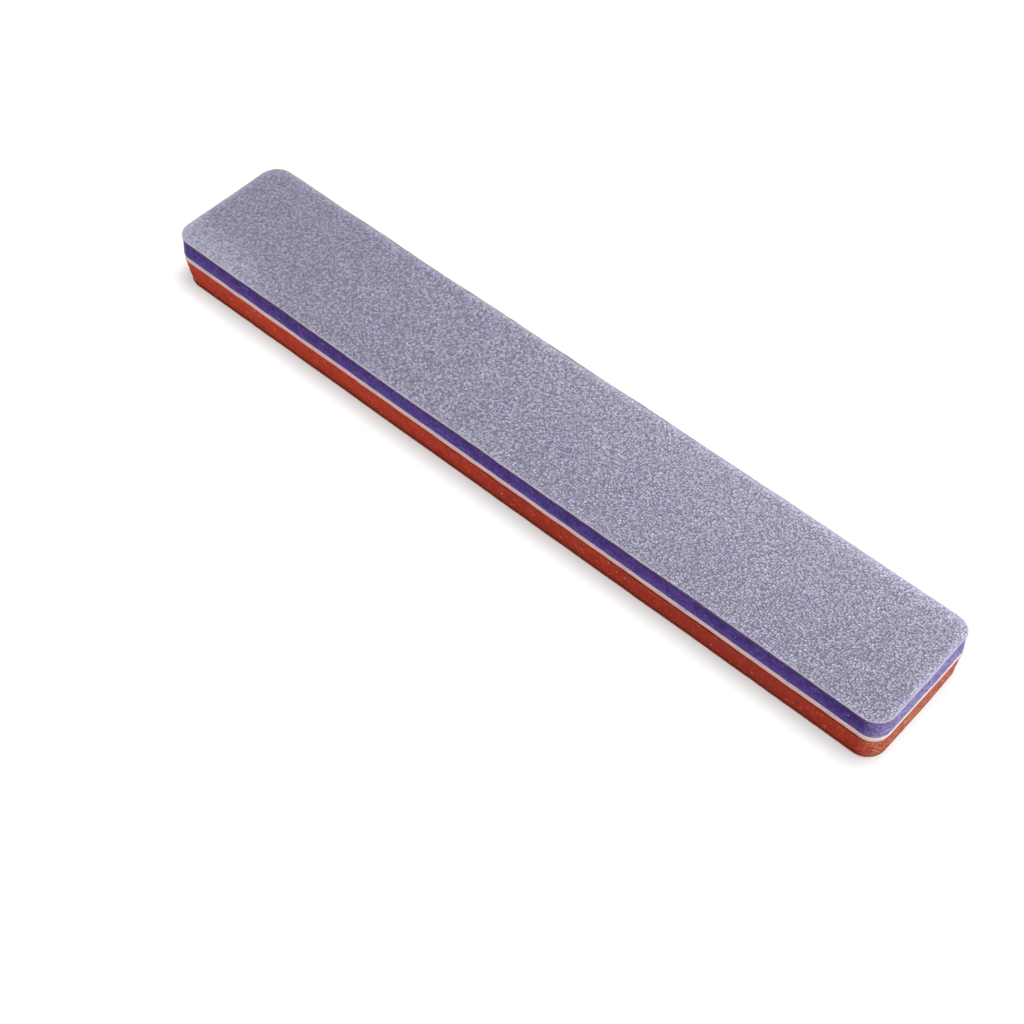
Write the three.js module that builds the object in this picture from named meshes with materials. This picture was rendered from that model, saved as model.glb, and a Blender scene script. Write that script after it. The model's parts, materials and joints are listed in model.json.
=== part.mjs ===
// Nail buffer sponge: a hand-held filing board with a soft pad and an abrasive face on each side.
// A stiff white plastic strip runs through the middle. A firm foam pad is glued to each side of it,
// violet above and orange below, and a coated abrasive sheet of the same colour family is glued over
// each pad. The glued-up stack is cut to one outline with a knife die, so the layers share it.
// Units are millimetres: +X along the board, +Y across it, +Z up. The origin is the middle of the
// orange face, on which the board rests.

import * as THREE from "three";

// Outline of the cutting die.
const BOARD_LENGTH = 178;
const BOARD_WIDTH = 29;
const CORNER_RADIUS = 4;
const CORNER_DIVISIONS = 6;

// Thickness of each layer.
const GRIT_COAT_THICKNESS = 0.25;
const BACKING_THICKNESS = 0.25;
const ADHESIVE_THICKNESS = 0.125;
const ORANGE_FOAM_THICKNESS = 4.875;
const CORE_THICKNESS = 1.375;
const VIOLET_FOAM_THICKNESS = 3.5;

// How far a layer stops inside the outline. Foam is squeezed under the knife and springs back short
// of the sheets, and glue is kept away from the cut edges.
const FOAM_INSET = 0.15;
const ADHESIVE_INSET = 0.4;

// The board's rounded rectangle, drawn that far inside the die's outline.
function outline(inset) {
  const radius = CORNER_RADIUS - inset;
  const x = BOARD_LENGTH / 2 - CORNER_RADIUS;
  const y = BOARD_WIDTH / 2 - CORNER_RADIUS;
  const quarter = Math.PI / 2;
  const shape = new THREE.Shape();
  shape.absarc(x, y, radius, 0, quarter);
  shape.absarc(-x, y, radius, quarter, 2 * quarter);
  shape.absarc(-x, -y, radius, 2 * quarter, 3 * quarter);
  shape.absarc(x, -y, radius, 3 * quarter, 4 * quarter);
  shape.closePath();
  return shape;
}

// One flat layer of the board, with its underside at the height of its own origin.
function layer(name, thickness, inset, material) {
  const geometry = new THREE.ExtrudeGeometry(outline(inset), {
    depth: thickness,
    bevelEnabled: false,
    curveSegments: CORNER_DIVISIONS,
  });
  const mesh = new THREE.Mesh(geometry, material);
  mesh.name = name;
  mesh.userData.thickness = thickness;
  return mesh;
}

// Resin with mineral grain, bonded to the outside of a backing sheet.
function gritCoat(name, color) {
  const finish = new THREE.MeshStandardMaterial({ color, roughness: 0.9, metalness: 0 });
  return layer(name, GRIT_COAT_THICKNESS, 0, finish);
}

// Latex paper that carries the grain.
function backing(name, color) {
  const finish = new THREE.MeshStandardMaterial({ color, roughness: 0.85, metalness: 0 });
  return layer(name, BACKING_THICKNESS, 0, finish);
}

// Film of pressure-sensitive glue.
function adhesive(name) {
  const finish = new THREE.MeshStandardMaterial({ color: 0xd8cfc4, roughness: 0.4, metalness: 0 });
  return layer(name, ADHESIVE_THICKNESS, ADHESIVE_INSET, finish);
}

// Closed-cell foam pad.
function foamPad(name, thickness, color) {
  const finish = new THREE.MeshStandardMaterial({ color, roughness: 0.95, metalness: 0 });
  return layer(name, thickness, FOAM_INSET, finish);
}

// Stiff polystyrene strip.
function coreStrip(name) {
  const finish = new THREE.MeshStandardMaterial({ color: 0xe7dbdd, roughness: 0.5, metalness: 0 });
  return layer(name, CORE_THICKNESS, 0, finish);
}

// The stack in the order in which it lies, from the face it rests on to the face on top.
const stack = [
  gritCoat("orange_grit_coat", 0xc87d62),
  backing("orange_backing", 0x933a29),
  adhesive("orange_sheet_adhesive"),
  foamPad("orange_foam", ORANGE_FOAM_THICKNESS, 0xb53c29),
  adhesive("orange_core_adhesive"),
  coreStrip("core_strip"),
  adhesive("violet_core_adhesive"),
  foamPad("violet_foam", VIOLET_FOAM_THICKNESS, 0x4f3984),
  adhesive("violet_sheet_adhesive"),
  backing("violet_backing", 0x4e3d6e),
  gritCoat("violet_grit_coat", 0xa09db0),
];

// Each layer lies on the one below it, face to face.
const board = new THREE.Group();
let height = 0;
for (const mesh of stack) {
  mesh.position.z = height;
  height += mesh.userData.thickness;
  board.add(mesh);
}

export default board;
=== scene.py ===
# Nail buffer sponge: a filing board built up from eleven glued layers and cut out with one die.
# It lies along X on its orange face, with Z up through the layers to the violet face.
# Left and right are its ends at -X and +X, near and far its long sides at -Y and +Y.
import json
import math

import bmesh
import bpy
from mathutils import Matrix, Vector, noise


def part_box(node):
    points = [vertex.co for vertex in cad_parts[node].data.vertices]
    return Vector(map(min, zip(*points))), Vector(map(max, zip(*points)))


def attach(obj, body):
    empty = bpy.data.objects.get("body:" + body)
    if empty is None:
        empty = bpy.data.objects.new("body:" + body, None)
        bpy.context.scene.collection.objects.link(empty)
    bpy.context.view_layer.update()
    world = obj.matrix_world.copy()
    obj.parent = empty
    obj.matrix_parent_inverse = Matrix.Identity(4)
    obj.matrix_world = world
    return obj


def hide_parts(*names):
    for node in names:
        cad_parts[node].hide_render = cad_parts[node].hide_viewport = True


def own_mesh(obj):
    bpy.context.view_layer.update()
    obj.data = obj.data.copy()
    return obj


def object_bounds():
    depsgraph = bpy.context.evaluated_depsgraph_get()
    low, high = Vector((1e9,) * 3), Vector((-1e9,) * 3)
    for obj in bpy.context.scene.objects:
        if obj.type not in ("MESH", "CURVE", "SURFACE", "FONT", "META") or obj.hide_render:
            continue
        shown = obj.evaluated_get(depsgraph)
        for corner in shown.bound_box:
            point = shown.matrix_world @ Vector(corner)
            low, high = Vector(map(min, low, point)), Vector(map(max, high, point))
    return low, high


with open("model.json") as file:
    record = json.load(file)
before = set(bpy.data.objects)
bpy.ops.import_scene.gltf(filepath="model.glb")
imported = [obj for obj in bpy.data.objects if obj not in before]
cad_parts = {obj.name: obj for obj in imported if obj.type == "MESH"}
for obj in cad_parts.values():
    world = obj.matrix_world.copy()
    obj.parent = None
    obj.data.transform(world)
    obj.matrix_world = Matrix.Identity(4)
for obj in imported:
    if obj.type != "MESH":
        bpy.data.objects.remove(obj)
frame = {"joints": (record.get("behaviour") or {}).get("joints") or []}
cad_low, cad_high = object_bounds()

# Core strip
# The stiff strip in the middle of the board: white polystyrene sheet, a little over a millimetre thick.
# The die shears it with the rest, which leaves its edge hollow between two thin bright burrs.
MM = 0.001
CORNER_RADIUS = 4 * MM
CORNER_CENTRE = (cad_high.x - CORNER_RADIUS, cad_high.y - CORNER_RADIUS)
CORNER_DIP = 0.45 * MM
CORE_PROUD = 0.12 * MM
CORE_HOLLOW = 0.05 * MM
DIE_WANDER = ((0.06 * MM, 6 * MM, 3.1), (0.03 * MM, 1.4 * MM, 9.3))
LEFT_SLOPE = 1.5 * MM
LEFT_CURL = 1.2 * MM
RIGHT_SLOPE = 0.4 * MM
SLOPE_REACH = 14 * MM
SLOPE_POWER = 4
CURL_POWER = 20
FAR_CORNER_POWER = 6
FAR_LEFT_OUT = 0.25 * MM
FAR_LEFT_SPAN = (-45 * MM, -82 * MM)
FAR_RIGHT_IN = 0.35 * MM
FAR_RIGHT_SPAN = (35 * MM, 85 * MM)
# The ends are made paler, partly by filing dust and partly by painted sheen of the light on the ends.
DUST_AND_SHEEN_END = (cad_high.x - 4.4 * MM, cad_high.x + 0.2 * MM)
VIOLET_STAIN_DEPTH = 0.7 * MM
RED_STAIN_DEPTH = 0.65 * MM
FULL_STAIN_DEPTH = 0.1 * MM
CORE_COLOURS = {
    "plain": (0.72, 0.55, 0.58, 1),
    "scuffed": (0.60, 0.44, 0.47, 1),
    # Whiter on the ends, partly dust and partly painted sheen of the lit ends.
    "ends": (0.79, 0.71, 0.73, 1),
    "violet stain": (0.47, 0.36, 0.60, 1),
    "red stain": (0.80, 0.38, 0.28, 1),
}


def past_corner_centre(point):
    """How far a point lies beyond the centres of the corner arcs, along X and Y."""
    beyond_x = math.copysign(max(abs(point.x) - CORNER_CENTRE[0], 0), point.x)
    beyond_y = math.copysign(max(abs(point.y) - CORNER_CENTRE[1], 0), point.y)
    return Vector((beyond_x, beyond_y, 0))


def die_cut(node, step, rows):
    """The layer that fills a node: the die's outline in short steps, raised in rows and closed."""
    low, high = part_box(node)
    size = high - low
    radius = CORNER_RADIUS - (cad_high.x - high.x)
    layer = bmesh.new()
    outline_size = Matrix.Diagonal((size.x, size.y, 1, 1))
    lowest = Matrix.Translation((0, 0, low.z))
    bmesh.ops.create_grid(layer, x_segments=1, y_segments=1, size=0.5, matrix=lowest @ outline_size)
    arc_steps = math.ceil(radius * math.pi / 2 / step)
    bmesh.ops.bevel(
        layer,
        geom=layer.verts[:],
        offset=radius,
        affect="VERTICES",
        segments=arc_steps,
        profile=0.5,
        material=-1,
    )
    bmesh.ops.delete(layer, geom=layer.faces[:], context="FACES_ONLY")
    for side in [edge for edge in layer.edges if edge.calc_length() > 2 * step]:
        bmesh.ops.subdivide_edges(layer, edges=[side], cuts=round(side.calc_length() / step) - 1)
    ring = layer.edges[:]
    bmesh.ops.contextual_create(layer, geom=ring)
    for row in range(rows):
        raised = bmesh.ops.extrude_edge_only(layer, edges=ring)["geom"]
        ring = [part for part in raised if isinstance(part, bmesh.types.BMEdge)]
        corners = [part for part in raised if isinstance(part, bmesh.types.BMVert)]
        bmesh.ops.translate(layer, verts=corners, vec=(0, 0, size.z / rows))
    bmesh.ops.contextual_create(layer, geom=ring)
    bmesh.ops.recalc_face_normals(layer, faces=layer.faces)
    for face in layer.faces:
        face.smooth = len(face.verts) == 4
        for edge in face.edges:
            edge.smooth = edge.smooth and face.smooth
    return layer


def ease(value, start, end):
    """0 before start, 1 after end, and smooth between them."""
    share = min(max((value - start) / (end - start), 0), 1)
    return share**2 * (3 - 2 * share)


def cut_drift(point):
    """How far the cut drifts at a point: the ends are dragged in below, and the far edge is askew."""
    depth = (cad_high.z - point.z) / (cad_high.z - cad_low.z)
    by_left = max(1 - (point.x - cad_low.x) / SLOPE_REACH, 0)
    by_right = max(1 - (cad_high.x - point.x) / SLOPE_REACH, 0)
    towards_far = (point.y - cad_low.y) / (cad_high.y - cad_low.y)
    from_left = by_left * (LEFT_SLOPE * depth**SLOPE_POWER + LEFT_CURL * depth**CURL_POWER)
    from_right = by_right * towards_far**FAR_CORNER_POWER * RIGHT_SLOPE * depth**SLOPE_POWER
    out_left = FAR_LEFT_OUT * ease(point.x, *FAR_LEFT_SPAN)
    in_right = FAR_RIGHT_IN * ease(point.x, *FAR_RIGHT_SPAN)
    before_corner = 1 - (past_corner_centre(point).x / CORNER_RADIUS) ** 2
    askew = (out_left - in_right) * before_corner * max(point.y / cad_high.y, 0) ** 2
    return Vector((from_left - from_right, askew, 0))


def move_wall(layer, node, rule):
    """Moves each point of a layer's cut wall out and up, as rule(point, share of the height) says."""
    low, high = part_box(node)
    for vert in layer.verts:
        out, up = rule(vert.co.copy(), (vert.co.z - low.z) / (high.z - low.z))
        outward = past_corner_centre(vert.co).normalized()
        vert.co += outward * out + Vector((0, 0, up)) + cut_drift(vert.co)


def ripple(point, wavelength, seed):
    """Smooth noise from -1 to 1 that changes over about one wavelength."""
    return noise.noise(point / wavelength + Vector((seed, 0.37 * seed, 0.71 * seed)))


def ripples(point, kinds):
    """The sum of several ripples, each given by its height, wavelength and seed."""
    return sum(height * ripple(point, wavelength, seed) for height, wavelength, seed in kinds)


def die_wander(point):
    """How far the die's cut strays from its outline, the same for every layer."""
    return ripples(Vector((point.x, point.y, 0)), DIE_WANDER)


def corner_dip(point):
    """How far the die has pushed the layers beside the core down, most in the middle of each corner."""
    past = past_corner_centre(point) / CORNER_RADIUS
    return -CORNER_DIP * 2 * abs(past.x * past.y)


def core_edge(point, share):
    """The sheared edge of the core: proud of the outline, and hollow between its two burrs."""
    hollow = -CORE_HOLLOW * math.sin(math.pi * share)
    return CORE_PROUD + hollow + die_wander(point), corner_dip(point)


class Wire:
    """A shader socket. Sums and products of wires add Math nodes, and node() adds any other kind."""

    def __init__(self, tree, socket=None):
        self.tree = tree
        self.socket = socket

    def feed(self, target, inputs):
        """Sets or links the named or numbered sockets of a node."""
        for key, value in inputs.items():
            if isinstance(value, Wire):
                self.tree.links.new(value.socket, target.inputs[key])
            else:
                target.inputs[key].default_value = value

    def node(self, kind, settings, inputs, output=0):
        """Adds a node with its settings, feeds its sockets, and gives one of its outputs."""
        added = self.tree.nodes.new(kind)
        for name, value in settings.items():
            setattr(added, name, value)
        self.feed(added, inputs)
        return Wire(self.tree, added.outputs[output])

    def __add__(self, other):
        return self.node("ShaderNodeMath", {"operation": "ADD"}, {0: self, 1: other})

    def __mul__(self, other):
        return self.node("ShaderNodeMath", {"operation": "MULTIPLY"}, {0: self, 1: other})

    def __sub__(self, other):
        return self.node("ShaderNodeMath", {"operation": "SUBTRACT"}, {0: self, 1: other})

    def __rsub__(self, other):
        return self.node("ShaderNodeMath", {"operation": "SUBTRACT"}, {0: other, 1: self})

    __radd__ = __add__
    __rmul__ = __mul__


def new_material(name):
    """A material and the wire of the place on the piece that its patterns read."""
    material = bpy.data.materials.new(name)
    material.use_nodes = True
    place = Wire(material.node_tree).node("ShaderNodeTexCoord", {}, {}, "Object")
    return material, place


def finish_material(material, place, inputs):
    """Feeds the material's main shader."""
    place.feed(material.node_tree.nodes["Principled BSDF"], inputs)
    return material


def cloud(place, size, detail, seed):
    """Noise from 0 to 1 with lumps of about that size."""
    inputs = {"Vector": place, "W": seed, "Scale": 1 / size, "Detail": detail, "Roughness": 0.55}
    return place.node("ShaderNodeTexNoise", {"noise_dimensions": "4D"}, inputs, "Fac")


def fade(value, start, end):
    """The same as ease, for a wire."""
    inputs = {"Value": value, "From Min": start, "From Max": end}
    return value.node("ShaderNodeMapRange", {"interpolation_type": "SMOOTHSTEP"}, inputs)


def mix_colour(share, first, second, blend="MIX"):
    """The first colour where share is 0, the second, or its blend with the first, where share is 1."""
    settings = {"data_type": "RGBA", "blend_type": blend}
    return share.node("ShaderNodeMix", settings, {0: share, 6: first, 7: second}, 2)


def bump(height, strength, depth):
    """A normal that follows a height pattern of that depth."""
    return height.node("ShaderNodeBump", {}, {"Height": height, "Strength": strength, "Distance": depth})


def coordinate(place, axis):
    """One coordinate of a place on the piece."""
    return place.node("ShaderNodeSeparateXYZ", {}, {"Vector": place}, axis)


def distance(value, middle):
    """How far a value lies from the middle one, on either side."""
    return value.node("ShaderNodeMath", {"operation": "ABSOLUTE"}, {0: value - middle})


def on_ends(place):
    """1 on the two ends of the board, paler there with filing dust and painted sheen, and 0 along its sides.
    """
    return fade(distance(coordinate(place, "X"), 0), *DUST_AND_SHEEN_END)


def core_plastic(colours):
    """White polystyrene, whiter on the ends with dust and painted sheen, stained violet above and red below
    by the foam.
    """
    material, place = new_material("core_white_polystyrene")
    scuff = fade(cloud(place, 2.2 * MM, 3, 1.0), 0.42, 0.72)
    colour = mix_colour(scuff, colours["plain"], colours["scuffed"])
    # Dust and painted sheen make the ends whiter, and the stains fade there.
    colour = mix_colour(on_ends(place), colour, colours["ends"])
    low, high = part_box("core_strip")
    height = coordinate(place, "Z") + 0.3 * MM * (scuff - 0.5)
    tint_share = 0.85 - 0.5 * on_ends(place)
    violet_stain = tint_share * fade(height, high.z - VIOLET_STAIN_DEPTH, high.z - FULL_STAIN_DEPTH)
    red_stain = tint_share * fade(height, low.z + RED_STAIN_DEPTH, low.z + FULL_STAIN_DEPTH)
    colour = mix_colour(violet_stain, colour, colours["violet stain"])
    colour = mix_colour(red_stain, colour, colours["red stain"])
    drag = cloud(place, 0.35 * MM, 2, 2.0)
    inputs = {
        "Base Color": colour,
        "Roughness": 0.42 + 0.25 * scuff,
        "Specular IOR Level": 0.25,
        "Normal": bump(drag, 0.35, 0.05 * MM),
    }
    return finish_material(material, place, inputs)


def make_piece(name, layer, material, node, body, slot):
    """Turns a modelled layer into the piece that stands for its node and moves with its body."""
    mesh = bpy.data.meshes.new(name)
    layer.to_mesh(mesh)
    layer.free()
    mesh.materials.append(material)
    piece = bpy.data.objects.new(name, mesh)
    bpy.context.scene.collection.objects.link(piece)
    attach(piece, body)
    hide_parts(node)
    return piece


core = die_cut("core_strip", step=0.5 * MM, rows=5)
move_wall(core, "core_strip", core_edge)
core_white = core_plastic(CORE_COLOURS)
make_piece("core_white_strip", core, core_white, node="core_strip", body="core", slot="core_plastic")

# Glue films on the core
# Pressure-sensitive glue that holds a pad to each side of the core, rolled on as a film from a liner.
# It stops short of the cut, so each film shows only as a fine line, with beads that crept outwards.
CORE_CREEP = 0.05 * MM
BEAD = 0.15 * MM
END_DUST_AND_SHEEN_GLUE = (0.80, 0.68, 0.66, 1)


def glue(name, clear, dusty, seed):
    """Clear glue, slightly yellowed, with the dust of the foam beside it caught along its edge, and paler
    ends of dust and painted sheen.
    """
    material, place = new_material(name)
    dust = fade(cloud(place, 1.1 * MM, 3, seed), 0.4, 0.75)
    colour = mix_colour(dust, clear, dusty)
    # Paler on the ends, with dust and painted sheen.
    colour = mix_colour(0.3 * on_ends(place), colour, END_DUST_AND_SHEEN_GLUE)
    inputs = {"Base Color": colour, "Roughness": 0.28 + 0.4 * dust}
    return finish_material(material, place, inputs)


def glue_film(node, body, creep, film_glue):
    """A film of glue that the press has squeezed out by about its creep, with beads along its edge."""

    def film_edge(point, share):
        bead = max(ripple(point, 3.5 * MM, 5.7), 0) * math.sin(math.pi * (0.2 + 0.6 * share))
        return creep + BEAD * bead + die_wander(point), 0

    film = die_cut(node, step=0.7 * MM, rows=2)
    move_wall(film, node, film_edge)
    make_piece(node.replace("adhesive", "film"), film, film_glue, node, body, slot="adhesive")


orange_core_glue = glue("glue_by_orange_foam", (0.36, 0.12, 0.09, 1), (0.24, 0.05, 0.035, 1), 4.0)
violet_core_glue = glue("glue_by_violet_foam", (0.52, 0.44, 0.56, 1), (0.30, 0.23, 0.42, 1), 5.0)
glue_film("orange_core_adhesive", "core", CORE_CREEP, orange_core_glue)
glue_film("violet_core_adhesive", "core", CORE_CREEP, violet_core_glue)

# Foam pads
# Firm closed-cell foam, skived to thickness from a block and glued to the core, orange below, violet above.
# The knife squeezes it as it cuts, so its sides spring back short of the sheets and of the stiff core.
FOAM_BULGE = 0.22 * MM
FOAM_BELLY = 0.06 * MM
FOAM_LIP = 0.08 * MM
SHEET_SHADE_DEPTH = 1.0 * MM
HAZED_DEPTH = 1.6 * MM
CORE_SHADE_DEPTH = 0.6 * MM
ORANGE_FOAM = {
    "deep": (0.34, 0.028, 0.014, 1),
    "plain": (0.525, 0.047, 0.020, 1),
    "pale": (0.68, 0.45, 0.24, 1),
    "speck": (0.88, 0.55, 0.38, 1),
    "sheet shade": (0.50, 0.060, 0.030, 1),
    "painted shade right": 0.2,
    "dust": 0.0,
    "core haze": 0.0,
    "core line": 0.9,
    "sheet line": 0.4,
}
VIOLET_FOAM = {
    "deep": (0.047, 0.021, 0.152, 1),
    "plain": (0.092, 0.047, 0.257, 1),
    "pale": (0.50, 0.44, 0.75, 1),
    "speck": (0.36, 0.33, 0.72, 1),
    "sheet shade": (0.062, 0.034, 0.105, 1),
    "painted shade right": 0.12,
    "dust": 0.20,
    "core haze": 0.06,
    "core line": 0.0,
    "sheet line": 0.6,
}


def foam(node, core_side, look, seed):
    """Cut foam: mottled and open-celled, with painted shade towards the right and by the sheet.

    Its ends are paler with dust and painted sheen. Along the core it is hazy with plastic dust,
    or darkened by a painted shade line in patches, more so towards the right.
    """
    material, place = new_material(node + "_cut")
    low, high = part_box(node)
    core_level = high.z if core_side > 0 else low.z
    sheet_level = low.z if core_side > 0 else high.z
    along = coordinate(place, "X")
    from_core = distance(coordinate(place, "Z"), core_level)
    from_sheet = distance(coordinate(place, "Z"), sheet_level)

    mottle = cloud(place, 1.8 * MM, 4, seed)
    slow = cloud(place, 45 * MM, 1, seed + 4) - 0.5
    # Painted shade: the foam darkens towards the right.
    painted_right_shade = look["painted shade right"] * (fade(along, -10 * MM, 60 * MM) - 0.4)
    colour = mix_colour(fade(mottle + 0.8 * slow - painted_right_shade, 0.3, 0.7), look["deep"], look["plain"])
    cells = cloud(place, 0.5 * MM, 3, seed + 1)
    colour = mix_colour(0.55 * fade(cells, 0.5, 0.68), colour, look["deep"])
    colour = mix_colour(0.14 * fade(cells, 0.47, 0.3), colour, look["pale"])

    # Painted shade under the sheet: the foam is darker and greyer close to it, except on the ends.
    sheet_shaded = fade(from_sheet, SHEET_SHADE_DEPTH, 0.1 * MM)
    colour = mix_colour(look["sheet line"] * sheet_shaded * (1 - on_ends(place)), colour, look["sheet shade"])
    # The ends are paler, with filing dust and with painted sheen of the light on the ends.
    end_powder_and_sheen = fade(cloud(place, 0.45 * MM, 2, seed + 3), 0.4, 0.66)
    colour = mix_colour(on_ends(place) * (look["dust"] + 0.45 * end_powder_and_sheen), colour, look["pale"])
    colour = mix_colour(look["core haze"] * fade(from_core, HAZED_DEPTH, 0.2 * MM), colour, look["pale"])

    # Painted shade along the gap under the core, in long patches, stronger towards the right and weaker on
    # the ends.
    more_core_shade = 0.15 + 0.85 * fade(along, -65 * MM, 5 * MM)
    core_shade_patches = more_core_shade * (0.5 + 0.5 * fade(cloud(place, 25 * MM, 1, seed + 6), 0.4, 0.6))
    core_shade = core_shade_patches * fade(from_core, CORE_SHADE_DEPTH, 0.15 * MM)
    core_shade_colour = mix_colour(0.7 * core_shade, look["deep"], (0, 0, 0, 1))
    colour = mix_colour(look["core line"] * core_shade * (1 - 0.3 * on_ends(place)), colour, core_shade_colour)

    freckles = fade(cloud(place, 0.9 * MM, 0, seed + 5), 0.70, 0.84)
    colour = mix_colour(0.18 * freckles, colour, look["speck"])
    specks = fade(cloud(place, 0.7 * MM, 0, seed + 2) + 0.08 * on_ends(place), 0.82, 0.85)
    colour = mix_colour(0.75 * specks, colour, look["speck"])
    inputs = {
        "Base Color": colour,
        "Roughness": 0.78 + 0.14 * mottle,
        "Specular IOR Level": 0.06,
        "Sheen Weight": 0.03,
        "Sheen Roughness": 0.45,
        "Normal": bump(cells, 0.6, 0.08 * MM),
    }
    return finish_material(material, place, inputs)


def foam_edge(seed, core_side, overlap, tongue_length):
    """The cut side of a pad: fuller towards the core, rough with cells, with tongues over the core."""

    def rule(point, share):
        from_core = share if core_side < 0 else 1 - share
        full = FOAM_BULGE * (1 - from_core) ** 2 + FOAM_BELLY * math.sin(math.pi * share)
        waves = ripples(point, ((0.03 * MM, 1.6 * MM, seed + 2), (0.025 * MM, 0.6 * MM, seed + 4)))
        ragged = max(1 - 4 * from_core, 0)
        long_tongue = max(ripple(point, 3.2 * MM, seed + 6), 0)
        tongue = long_tongue + 0.6 * max(ripple(point, 0.9 * MM, seed + 8), 0)
        out = full + waves + die_wander(point) + FOAM_LIP * ragged
        return out, ragged * (corner_dip(point) + core_side * (overlap + tongue_length * tongue))

    return rule


PADS = {
    "orange": {
        "look": ORANGE_FOAM,
        "rows": 16,
        "seed": 6.3,
        "core side": 1,
        "overlap": 0.14 * MM,
        "tongue": 0.12 * MM,
    },
    "violet": {
        "look": VIOLET_FOAM,
        "rows": 12,
        "seed": 8.9,
        "core side": -1,
        "overlap": 0.0,
        "tongue": 0.24 * MM,
    },
}
for colour_name, cut in PADS.items():
    pad_node = colour_name + "_foam"
    pad_foam = foam(pad_node, cut["core side"], cut["look"], 2 * cut["seed"])
    pad = die_cut(pad_node, step=0.3 * MM, rows=cut["rows"])
    move_wall(pad, pad_node, foam_edge(cut["seed"], cut["core side"], cut["overlap"], cut["tongue"]))
    pad_piece = make_piece(colour_name + "_foam_pad", pad, pad_foam, pad_node, body="core", slot=pad_node)
    pad_low, pad_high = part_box(pad_node)
    press = next(joint for joint in frame["joints"] if joint["name"] == colour_name + "_face_press")
    kept_height = 1 - max(press["range_m"]) / (pad_high.z - pad_low.z)
    colour_name + "_face_press"
    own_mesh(pad_piece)

# Glue films under the sheets
# The same glue as on the core, between each pad and the abrasive sheet that covers it, squeezed out almost
# to the cut. Its dark colour is partly the dye of the pad and partly painted shade under the sheet's edge.
# These films travel with the sheets when a pad is squeezed.
SHEET_CREEP = 0.26 * MM
# Dark glue colours, partly the pad's dye and partly painted shade under the sheet.
orange_sheet_glue = glue("glue_under_orange_sheet", (0.34, 0.060, 0.034, 1), (0.26, 0.034, 0.018, 1), 6.0)
violet_sheet_glue = glue("glue_under_violet_sheet", (0.068, 0.041, 0.098, 1), (0.050, 0.029, 0.078, 1), 7.0)
glue_film("orange_sheet_adhesive", "orange_face", SHEET_CREEP, orange_sheet_glue)
glue_film("violet_sheet_adhesive", "violet_face", SHEET_CREEP, violet_sheet_glue)

# Backing papers
# Latex-filled paper that carries the grain of each abrasive face, dyed through in the colour of its side.
# The die leaves its edge slightly furred, standing out past the foam.
SHEET_PROUD = 0.03 * MM
SHEET_FRAY = ((0.16 * MM, 14 * MM, 31.0), (0.04 * MM, 2.3 * MM, 33.0), (0.03 * MM, 0.7 * MM, 35.0))
FRAY_SHARE = {"orange": 0.3, "violet": 1.0}
OFF_CENTRE = {"orange": Vector((-0.08, -0.1, 0)) * MM, "violet": Vector((-0.025, 0.05, 0)) * MM}


def fray(point, colour_name):
    """How far the edge of a sheet strays from the cut: furred, wavering, and laid a little off centre."""
    furred = FRAY_SHARE[colour_name] * ripples(Vector((point.x, point.y, 0)), SHEET_FRAY)
    laid_out = SHEET_PROUD + past_corner_centre(point).normalized().dot(OFF_CENTRE[colour_name])
    return laid_out + die_wander(point) + furred


def paper(name, dyed, bare, seed):
    """The cut edge of dyed paper: paler fibres among the dye, and paler ends of dust and painted sheen."""
    material, place = new_material(name)
    fibres = cloud(place, 0.5 * MM, 4, seed)
    # The ends turn paler, with dust and painted sheen.
    colour = mix_colour(fade(fibres, 0.45, 0.75) + 0.8 * on_ends(place), dyed, bare)
    inputs = {
        "Base Color": colour,
        "Roughness": 0.9,
        "Specular IOR Level": 0.06,
        "Normal": bump(fibres, 0.4, 0.04 * MM),
    }
    return finish_material(material, place, inputs)


PAPERS = {
    "orange": paper("orange_paper_edge", (0.29, 0.042, 0.022, 1), (0.40, 0.15, 0.095, 1), 33.0),
    "violet": paper("violet_paper_edge", (0.074, 0.045, 0.102, 1), (0.26, 0.22, 0.40, 1), 35.0),
}
for colour_name, sheet_paper in PAPERS.items():
    paper_node = colour_name + "_backing"
    sheet = die_cut(paper_node, step=0.5 * MM, rows=2)
    move_wall(sheet, paper_node, lambda point, share: (fray(point, colour_name), 0))
    make_piece(
        colour_name + "_paper",
        sheet,
        sheet_paper,
        paper_node,
        body=colour_name + "_face",
        slot=colour_name + "_paper",
    )

# Grit coats
# Mineral grain bedded in resin on each paper, coarse on the violet face and finer on the orange one.
# The die rolls the edge of the sheet down a little. Every rim but the near one is paler, partly rubbed
# and partly painted light, most where it faces the lamps. The grain is blunter towards the left, with
# painted light brightening it towards the right and the far side, and it is darker along the left rim
# and the left part of the far one.
GRID = 0.25 * MM
PALE_RIM = 1.8 * MM
WIDER_FAR_RIGHT = 0.6
ROLLED_RIM = 0.4 * MM
ROLL_DEPTH = 0.03 * MM
# Pale rims, partly rubbing and partly painted light, raised on the rims that face the lamps and lowered on
# the near one.
RIM_WEAR_AND_LIGHT = 0.9
LIT_RIGHT = 0.15
LESS_LIT_NEAR = 0.65
SKIRT = 2.0
# The brightening of the rims and the right rim colour are partly painted light.
VIOLET_GRIT = {
    "hollow": (0.140, 0.134, 0.184, 1),
    "tinted hollow": (0.141, 0.129, 0.194, 1),
    "grain": (0.468, 0.460, 0.574, 1),
    "tinted grain": (0.464, 0.448, 0.592, 1),
    "facet glint": (0.82, 0.83, 0.90, 1),
    "worn_and_lit": (1.45, 1.43, 1.46, 1),
    "near rim": (0.43, 0.345, 0.43, 1),
    "far rim": (0.39, 0.381, 0.37, 1),
    "right rim": (0.48, 0.466, 0.61, 1),
    "rim_darkening": (0.17, 0.16, 0.15, 1),
    "cut": (0.095, 0.066, 0.150, 1),
}
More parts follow.
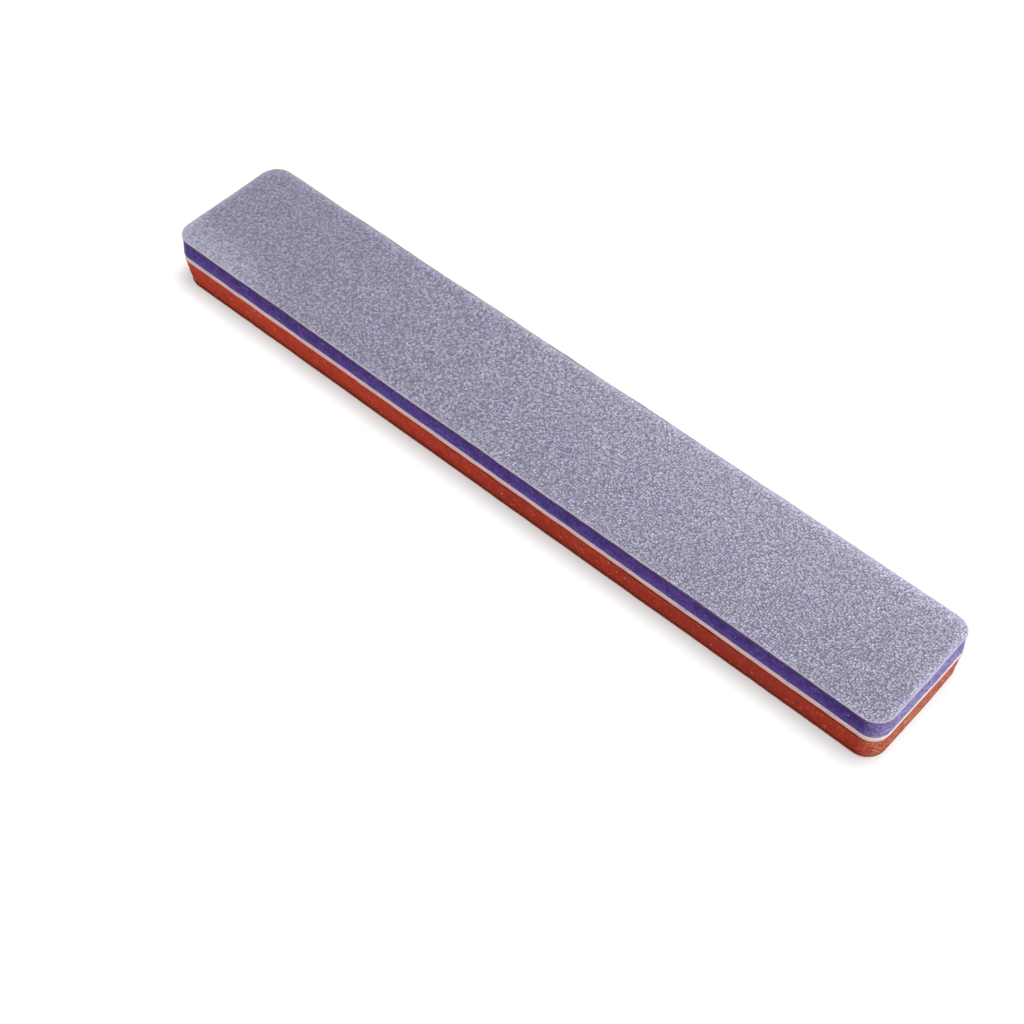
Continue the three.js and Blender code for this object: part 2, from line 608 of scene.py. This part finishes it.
# The brightening of the rims and the right rim colour are partly painted light.
ORANGE_GRIT = {
    "hollow": (0.345, 0.115, 0.063, 1),
    "tinted hollow": (0.358, 0.101, 0.068, 1),
    "grain": (0.60, 0.250, 0.142, 1),
    "tinted grain": (0.588, 0.215, 0.150, 1),
    "facet glint": (0.88, 0.66, 0.46, 1),
    "worn_and_lit": (1.06, 1.10, 1.14, 1),
    "near rim": (0.66, 0.32, 0.23, 1),
    "far rim": (0.60, 0.27, 0.19, 1),
    "right rim": (0.70, 0.35, 0.26, 1),
    "rim_darkening": (0.36, 0.15, 0.10, 1),
    "cut": (0.40, 0.135, 0.088, 1),
}


def grit_coat(colour_name, facing, grain_size, relief, seed):
    """The face of a sheet as a fine grid raised into grains, with its skirt and its flat back."""
    low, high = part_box(colour_name + "_grit_coat")
    size = high - low
    coat = bmesh.new()
    bmesh.ops.create_grid(
        coat,
        x_segments=round(size.x / GRID),
        y_segments=round(size.y / GRID),
        size=0.5,
        matrix=Matrix.Diagonal((size.x, size.y, 1, 1)),
    )
    grain_mark = coat.verts.layers.float.new("grain")
    worn_and_lit_mark = coat.verts.layers.float.new("worn_and_lit")
    rim_mark = coat.verts.layers.float.new("rim")
    for vert in coat.verts:
        past = past_corner_centre(vert.co)
        inside = min(high.x - abs(vert.co.x), high.y - abs(vert.co.y))
        if past.x and past.y:
            # The grid's square corners are drawn in onto the corner arcs.
            across = past / CORNER_RADIUS
            vert.co.x += past.x * (math.sqrt(1 - across.y**2 / 2) - 1)
            vert.co.y += past.y * (math.sqrt(1 - across.x**2 / 2) - 1)
            inside = CORNER_RADIUS - past_corner_centre(vert.co).length
        outward = past_corner_centre(vert.co).normalized()
        spot = Vector((vert.co.x, vert.co.y, 0)) / grain_size + Vector((0, 0, seed))
        ridge = max(1 - 3 * abs(noise.noise(spot)), 0)
        grain = min(max(0.7 * ridge + 0.4 * noise.noise(1.6 * spot) + 0.2, 0), 1)
        rolled = max(1 - inside / ROLLED_RIM, 0) ** 2
        # Rim paleness is partly painted light: more on the right and on the rims that face the lamps, less
        # on the near rim.
        wear_and_light = RIM_WEAR_AND_LIGHT + LIT_RIGHT * outward.x - LESS_LIT_NEAR * max(-outward.y, 0) ** 2
        far_right = max(outward.y, 0) * ease(vert.co.x, 30 * MM, 75 * MM)
        rim_width = PALE_RIM * (1 + WIDER_FAR_RIGHT * far_right)
        vert[grain_mark] = grain
        vert[worn_and_lit_mark] = max(1 - inside / rim_width, 0) * wear_and_light
        vert[rim_mark] = max(1 - inside / ROLLED_RIM, 0)
        vert.co.z = high.z - relief * (1 - grain) - ROLL_DEPTH * rolled
        vert.co += outward * fray(vert.co, colour_name) * rolled + cut_drift(vert.co)
    rim = [edge for edge in coat.edges if edge.is_boundary]
    skirt = bmesh.ops.extrude_edge_only(coat, edges=rim)["geom"]
    foot = [part for part in skirt if isinstance(part, bmesh.types.BMEdge)]
    for part in skirt:
        if isinstance(part, bmesh.types.BMVert):
            part.co.z = low.z
            part[rim_mark] = SKIRT
    bmesh.ops.contextual_create(coat, geom=foot)
    if facing < 0:
        middle = Vector((0, 0, (low.z + high.z) / 2))
        turn = Matrix.Translation(middle) @ Matrix.Scale(-1, 4, (0, 0, 1)) @ Matrix.Translation(-middle)
        bmesh.ops.transform(coat, matrix=turn, verts=coat.verts)
    bmesh.ops.recalc_face_normals(coat, faces=coat.faces)
    for face in coat.faces:
        face.smooth = len(face.verts) == 4
    for edge in rim + foot:
        edge.smooth = False
    return coat


def worn_and_lit_edges(place, colour, worn_and_lit, rim, seed, colours):
    """The grain's colour with its pale rims, partly rubbed and partly painted light, their darker patches,
    and the cut edge below.
    """
    colour = mix_colour(worn_and_lit, colour, colours["worn_and_lit"], "MULTIPLY")
    at_right = fade(coordinate(place, "X"), 20 * MM, 75 * MM)
    worn_and_lit_rim = mix_colour(at_right, colours["far rim"], colours["right rim"])
    rim_colour = mix_colour(worn_and_lit, colours["near rim"], worn_and_lit_rim)
    colour = mix_colour(0.7 * fade(rim, 0.0, 0.7), colour, rim_colour)
    # Darker patches along the far rim and the left rim, fading out towards the right.
    at_far = fade(coordinate(place, "Y"), cad_high.y - 2 * MM, cad_high.y - 0.5 * MM)
    at_left = fade(coordinate(place, "X"), cad_low.x + 2 * MM, cad_low.x + 0.5 * MM)
    tint_share = (0.9 * at_far + 0.5 * at_left) * fade(coordinate(place, "X"), 60 * MM, 10 * MM)
    rim_darkening = fade(cloud(place, 5 * MM, 2, seed + 5), 0.4, 0.65) * fade(rim, 0.1, 0.8)
    colour = mix_colour(tint_share * rim_darkening, colour, colours["rim_darkening"])
    torn = cloud(place, 0.6 * MM, 3, seed + 2) - 0.5
    return mix_colour(fade(rim + 0.8 * torn, 1.15, 1.6), colour, colours["cut"])


def grit(name, cell, contrast, uneven, seed, colours):
    """Bonded grain: resin in the hollows, pale grains, some of them bright, partly as painted glints, in two
    tints.

    An uneven face has sharper grain on the right and blunter on the left, painted light brightening it
    towards the right and the far side, and a paler patch at the near left.
    """
    material, place = new_material(name)
    grain, worn_and_lit, rim = [
        place.node("ShaderNodeAttribute", {"attribute_name": mark}, {}, "Fac")
        for mark in ("grain", "worn_and_lit", "rim")
    ]
    cell_inputs = {"Vector": place, "Scale": 1 / cell, "Randomness": 0.85}
    from_centre = place.node("ShaderNodeTexVoronoi", {"voronoi_dimensions": "2D"}, cell_inputs, "Distance")
    cell_colour = Wire(place.tree, from_centre.socket.node.outputs["Color"])
    chance = place.node("ShaderNodeSeparateColor", {}, {0: cell_colour}, 0)
    top = fade(from_centre, 0.6, 0.1)
    ridge = fade(distance(cloud(place, 0.9 * cell, 0, seed + 3), 0.5), 0.15, 0.0)
    fine = cloud(place, 0.5 * cell, 1, seed)
    sharp = 0.5 * top * (0.4 + chance) + 0.42 * ridge + 0.6 * fine - 0.6
    blurred = cloud(place, 1.05 * cell, 1, seed + 4) - 0.5

    # Sharper grain towards the right. The level below also uses this to paint light brightening that side.
    crisp_and_lit = 0.5 + uneven * (fade(coordinate(place, "X"), cad_low.x, 0.6 * cad_high.x) - 0.5)
    blunt = 1 - crisp_and_lit * crisp_and_lit * crisp_and_lit
    lit = (0.3 + 0.7 * crisp_and_lit) * sharp + 2.25 * blunt * blurred + 0.18 * (grain - 0.45) - 0.14
    # Painted light: the face is paler towards the far side.
    painted_light_far = crisp_and_lit * (fade(coordinate(place, "Y"), cad_low.y, cad_high.y) - 0.5)
    by_left = fade(coordinate(place, "X"), cad_low.x + 32 * MM, cad_low.x + 12 * MM)
    paler_corner = by_left * fade(coordinate(place, "Y"), -4 * MM, -13 * MM)
    level = 0.35 + 0.14 * crisp_and_lit + uneven * (0.11 * painted_light_far + 0.17 * paler_corner)
    shade = contrast * (0.6 + 0.58 * crisp_and_lit - 0.35 * worn_and_lit) * lit + level

    patches = fade(cloud(place, 9 * MM, 3, seed + 1), 0.35, 0.7)
    hollow = mix_colour(patches, colours["hollow"], colours["tinted hollow"])
    raised = mix_colour(patches, colours["grain"], colours["tinted grain"])
    colour = mix_colour(fade(shade, 0, 1), hollow, raised)
    # Bright grains, partly pale mineral and partly painted glints, and glossier there.
    facets_and_glints = fade(chance, 0.96, 0.98) * fade(from_centre, 0.4, 0.2)
    colour = mix_colour((0.1 + 0.25 * crisp_and_lit) * facets_and_glints, colour, colours["facet glint"])
    inputs = {
        "Base Color": worn_and_lit_edges(place, colour, worn_and_lit, rim, seed, colours),
        "Roughness": 0.85 - 0.4 * facets_and_glints,
        "Specular IOR Level": 0.25,
        "Normal": bump((0.4 + 0.6 * crisp_and_lit) * (ridge + fine), 0.4, 0.05 * MM),
    }
    return finish_material(material, place, inputs)


RELIEFS = {
    "violet": {"facing": 1, "grain_size": 0.55 * MM, "relief": 0.09 * MM, "seed": 3.5},
    "orange": {"facing": -1, "grain_size": 0.5 * MM, "relief": 0.06 * MM, "seed": 7.5},
}
GRITS = {
    "violet": {"cell": 0.54 * MM, "contrast": 0.82, "uneven": 1.0, "seed": 41.0, "colours": VIOLET_GRIT},
    "orange": {"cell": 0.45 * MM, "contrast": 0.9, "uneven": 0.0, "seed": 51.0, "colours": ORANGE_GRIT},
}
for colour_name in ("violet", "orange"):
    coat_node = colour_name + "_grit_coat"
    grit_relief = grit_coat(colour_name, **RELIEFS[colour_name])
    bonded_grain = grit(colour_name + "_bonded_grain", **GRITS[colour_name])
    make_piece(
        colour_name + "_grain",
        grit_relief,
        bonded_grain,
        coat_node,
        body=colour_name + "_face",
        slot=colour_name + "_grit",
    )

# Studio
# A pale table that stays white to the camera and keeps the board's soft shadow, in an even white room.
# A wide lamp stands high behind the board, and a weaker one, which casts no shadow, low on the right.
TABLE_REACH = 3
TABLE_DROP = 0.02 * MM
TABLE_PAINT = (0.915, 0.95, 0.95, 1)
WHITE = (1, 1, 1, 1)
SHADOW_LIFT = 0.36
ROOM_LEVEL = 0.45
LAMPS = {
    "high_lamp": {"from": (0.06, 0.2, 1.0), "energy": 2.3, "width": 26, "shadow": True},
    "side_lamp": {"from": (1.0, 0.0, 0.27), "energy": 0.95, "width": 20, "shadow": False},
}


def seen_directly(tree):
    """1 for what the camera sees, also in a reflection or through glass, and 0 for light on the board."""
    rays = Wire(tree)
    kinds = ("Is Camera Ray", "Is Glossy Ray", "Is Transmission Ray")
    camera_ray, glossy_ray, glass_ray = [rays.node("ShaderNodeLightPath", {}, {}, kind) for kind in kinds]
    return camera_ray + glossy_ray + glass_ray


table_plane = bmesh.new()
table_level = Matrix.Translation((0, 0, cad_low.z - TABLE_DROP))
bmesh.ops.create_grid(table_plane, x_segments=1, y_segments=1, size=TABLE_REACH, matrix=table_level)
table_mesh = bpy.data.meshes.new("table")
table_plane.to_mesh(table_mesh)
table_plane.free()
table = bpy.data.objects.new("table", table_mesh)
bpy.context.scene.collection.objects.link(table)

table_paint = bpy.data.materials.new("white_table")
table_paint.use_nodes = True
table_tree = table_paint.node_tree
table_tree.nodes.clear()
table_seen = seen_directly(table_tree)
matte = table_seen.node("ShaderNodeBsdfDiffuse", {}, {"Color": TABLE_PAINT})
white = table_seen.node("ShaderNodeEmission", {}, {"Color": WHITE, "Strength": 1.0})
table_look = table_seen.node("ShaderNodeMixShader", {}, {0: SHADOW_LIFT * table_seen, 1: matte, 2: white})
table_seen.feed(table_tree.nodes.new("ShaderNodeOutputMaterial"), {"Surface": table_look})
table_mesh.materials.append(table_paint)

room = bpy.data.worlds.new("white_room")
room.use_nodes = True
bpy.context.scene.world = room
room_tree = room.node_tree
room_tree.nodes.clear()
room_seen = seen_directly(room_tree)
room_level = ROOM_LEVEL + (1 - ROOM_LEVEL) * room_seen
backdrop = room_seen.node("ShaderNodeBackground", {}, {"Color": WHITE, "Strength": room_level})
room_seen.feed(room_tree.nodes.new("ShaderNodeOutputWorld"), {"Surface": backdrop})

for lamp_name, setting in LAMPS.items():
    lamp_light = bpy.data.lights.new(lamp_name, "SUN")
    lamp_light.energy = setting["energy"]
    lamp_light.angle = math.radians(setting["width"])
    lamp_light.use_shadow = setting["shadow"]
    lamp = bpy.data.objects.new(lamp_name, lamp_light)
    lamp.rotation_euler = Vector(setting["from"]).to_track_quat("Z", "Y").to_euler()
    bpy.context.scene.collection.objects.link(lamp)

# Camera
# It stands at the near right and looks down on the board, turned a little about its own axis.
# Its place and lens come from a fit to the straight edges of the violet face.
AIM = Vector((11.58, -21.59, 11.25)) * MM
AZIMUTH = math.radians(41.586)
ELEVATION = math.radians(52.068)
ROLL = math.radians(0.532)
DISTANCE = 344.49 * MM
SENSOR_WIDTH = 36
FOCAL_LENGTH = 66.054
level_part = math.cos(ELEVATION)
towards_camera = Vector(
    (level_part * math.sin(AZIMUTH), -level_part * math.cos(AZIMUTH), math.sin(ELEVATION))
)
camera_lens = bpy.data.cameras.new("camera")
camera_lens.sensor_width = SENSOR_WIDTH
camera_lens.lens = FOCAL_LENGTH
camera = bpy.data.objects.new("camera", camera_lens)
level_view = towards_camera.to_track_quat("Z", "Y").to_matrix().to_4x4()
standing = Matrix.Translation(AIM + DISTANCE * towards_camera)
camera.matrix_world = standing @ level_view @ Matrix.Rotation(ROLL, 4, "Z")
bpy.context.scene.collection.objects.link(camera)
bpy.context.scene.camera = camera
bpy.context.scene.view_settings.view_transform = "Standard"
